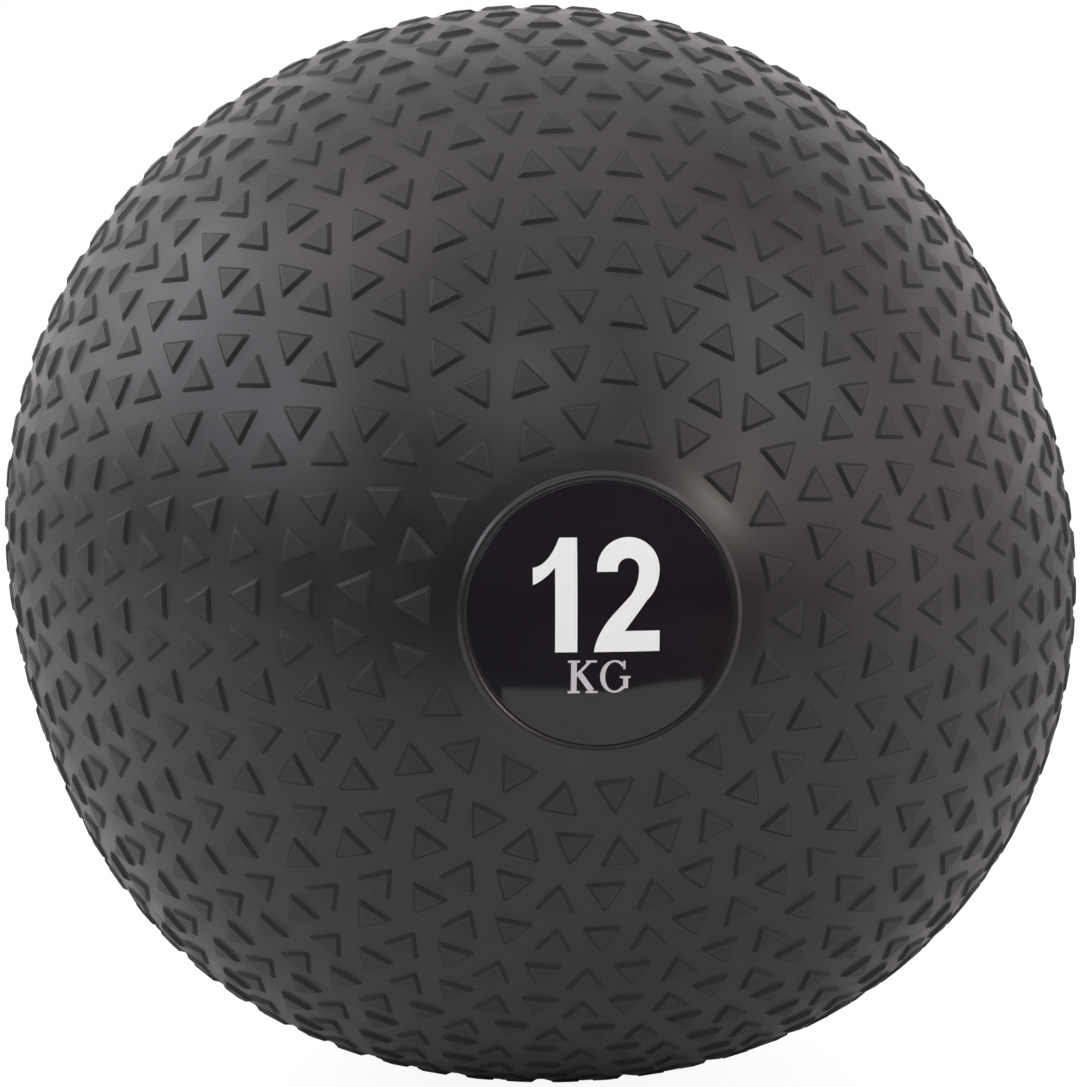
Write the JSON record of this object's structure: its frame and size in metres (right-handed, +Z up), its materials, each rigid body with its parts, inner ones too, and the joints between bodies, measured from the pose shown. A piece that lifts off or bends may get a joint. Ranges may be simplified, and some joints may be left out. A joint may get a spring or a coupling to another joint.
{
  "type": "medicine ball",
  "caption": "Round slam-type medicine ball with a triangular tread, a glossy weight disc let into the front and loose sand inside.",
  "frame": {"origin": "centre of the ball", "axes": "+Z up as the ball rests, -Y out through the middle of the weight disc, +X to the right of someone who faces that disc"},
  "size_m": [0.28, 0.2782, 0.28],
  "materials": {
    "shell": "moulded soft PVC, semi-matt dark grey",
    "disc": "high gloss near-black",
    "plug": "matt black",
    "sand": "dry loose sand",
    "digits": "matt white print",
    "letters": "thin pale grey print"
  },
  "bodies": {
    "ball": {"outer_shell": "shell", "weight_disc": "disc", "blank_disc": "disc", "filler_plug": "plug", "digit_one": "digits", "digit_two": "digits", "letter_k": "letters", "letter_g": "letters"},
    "fill": {"sand_fill": "sand"}
  },
  "joints": [
    {"name": "fill_roll", "type": "hinge", "parent": "ball", "child": "fill", "pos_m": [0, 0, 0], "axis": [1, 0, 0], "continuous": true}
  ]
}
